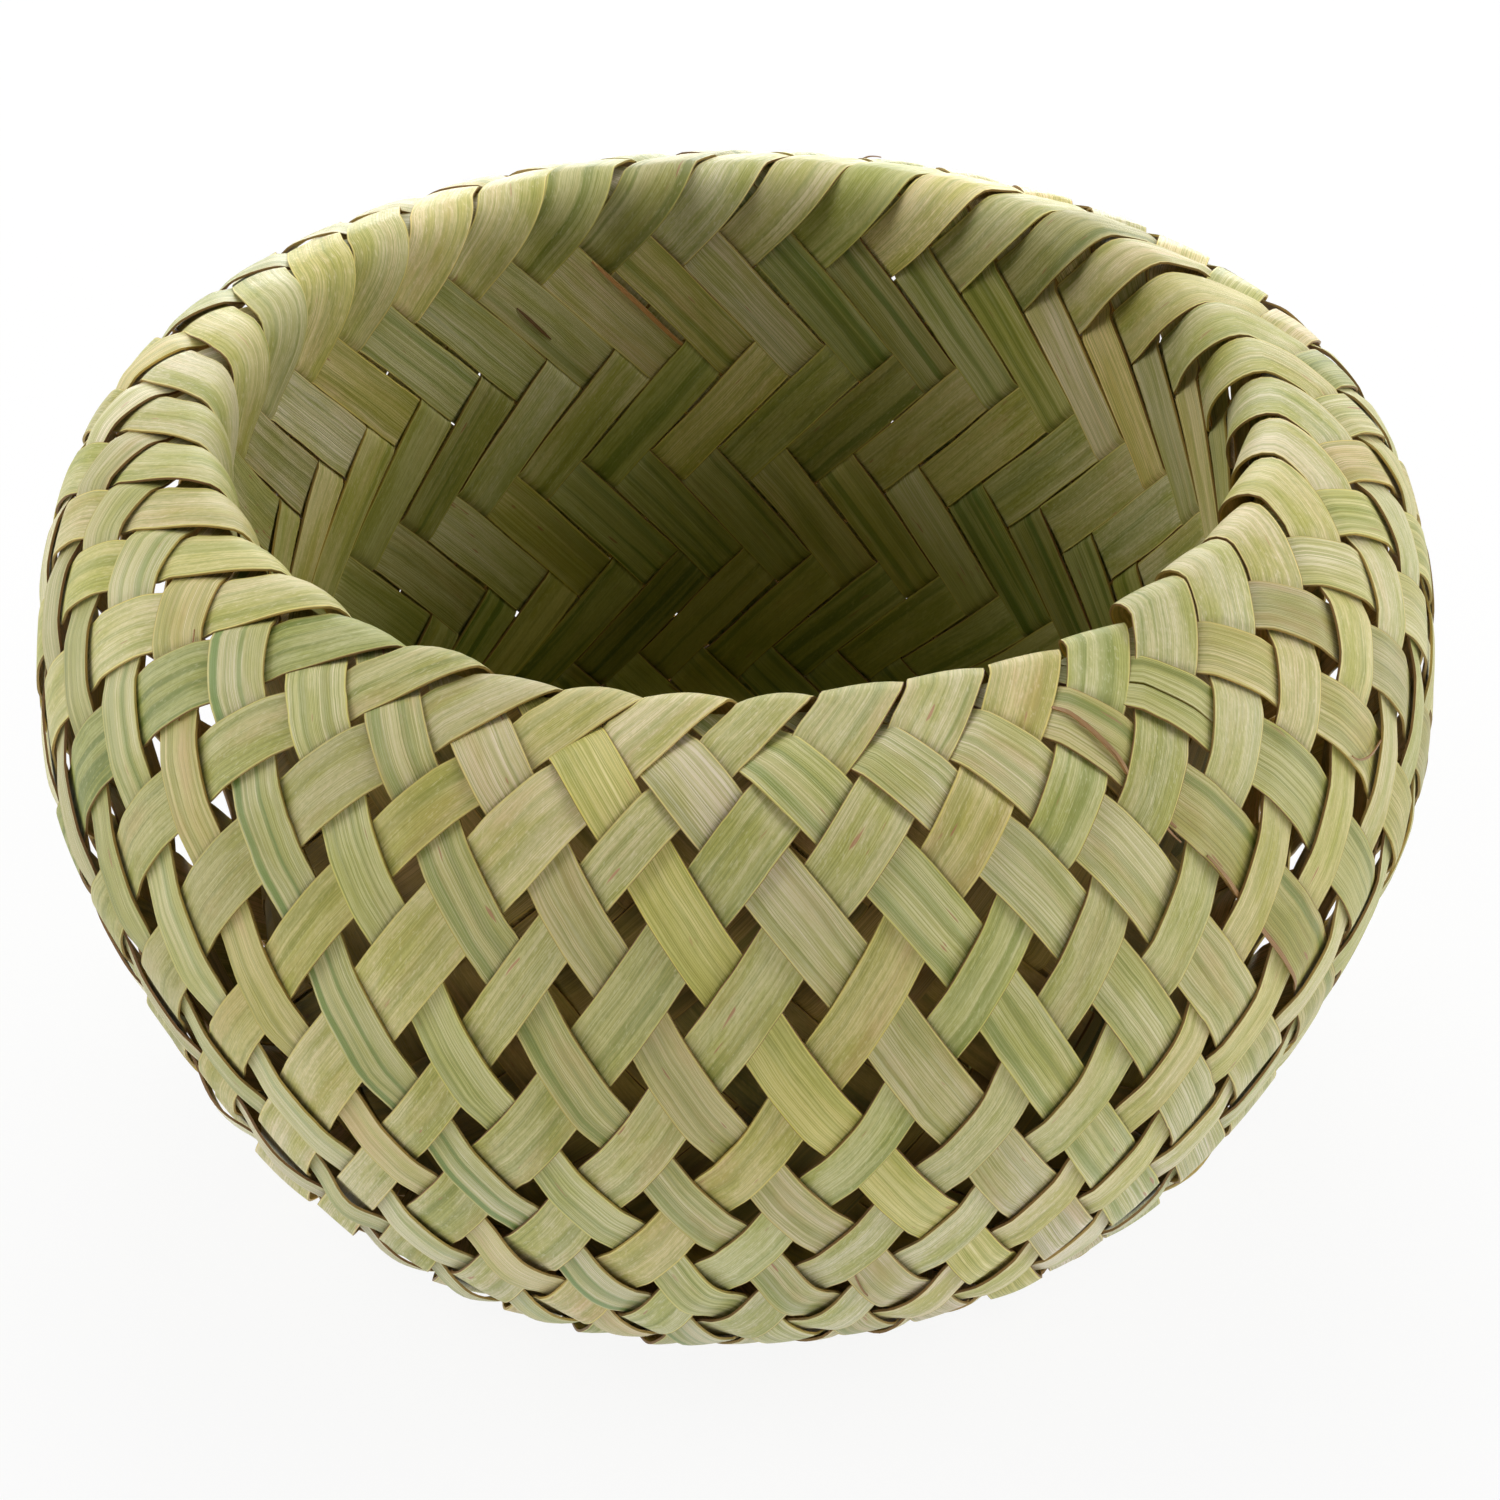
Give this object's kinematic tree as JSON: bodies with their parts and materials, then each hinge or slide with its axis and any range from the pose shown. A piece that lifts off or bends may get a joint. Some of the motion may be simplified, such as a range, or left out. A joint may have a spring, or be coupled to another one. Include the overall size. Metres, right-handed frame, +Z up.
{
  "type": "woven storage basket",
  "caption": "Round bellied storage basket with a double wall, plaited on the bias from flat leaf strips that roll over a soft rim into a tight herringbone lining.",
  "frame": {"origin": "centre of the basket's foot, on the surface it stands on", "axes": "+Z up along the basket's axis; the pictured front faces -Y"},
  "size_m": [0.2198, 0.2198, 0.1247],
  "materials": {
    "sage_leaf": "dried leaf, satin",
    "straw_leaf": "dried leaf, satin",
    "olive_leaf": "dried leaf, satin",
    "yellow_leaf": "dried leaf, satin",
    "deep_leaf": "dried leaf, satin"
  },
  "bodies": {
    "root": {"east_strip_01": "sage_leaf", "north_strip_01": "sage_leaf", "west_strip_01": "sage_leaf", "south_strip_01": "sage_leaf", "east_strip_02": "yellow_leaf", "north_strip_02": "yellow_leaf", "west_strip_02": "yellow_leaf", "south_strip_02": "yellow_leaf", "east_strip_03": "straw_leaf", "north_strip_03": "straw_leaf", "west_strip_03": "straw_leaf", "south_strip_03": "straw_leaf", "east_strip_04": "deep_leaf", "north_strip_04": "deep_leaf", "west_strip_04": "deep_leaf", "south_strip_04": "deep_leaf", "east_strip_05": "olive_leaf", "north_strip_05": "olive_leaf", "west_strip_05": "olive_leaf", "south_strip_05": "olive_leaf", "east_strip_06": "sage_leaf", "north_strip_06": "sage_leaf", "west_strip_06": "sage_leaf", "south_strip_06": "sage_leaf", "east_strip_07": "yellow_leaf", "north_strip_07": "yellow_leaf", "west_strip_07": "yellow_leaf", "south_strip_07": "yellow_leaf", "east_strip_08": "straw_leaf", "north_strip_08": "straw_leaf", "west_strip_08": "straw_leaf", "south_strip_08": "straw_leaf", "east_strip_09": "deep_leaf", "north_strip_09": "deep_leaf", "west_strip_09": "deep_leaf", "south_strip_09": "deep_leaf", "east_strip_10": "olive_leaf", "north_strip_10": "olive_leaf", "west_strip_10": "olive_leaf", "south_strip_10": "olive_leaf"}
  },
  "joints": []
}
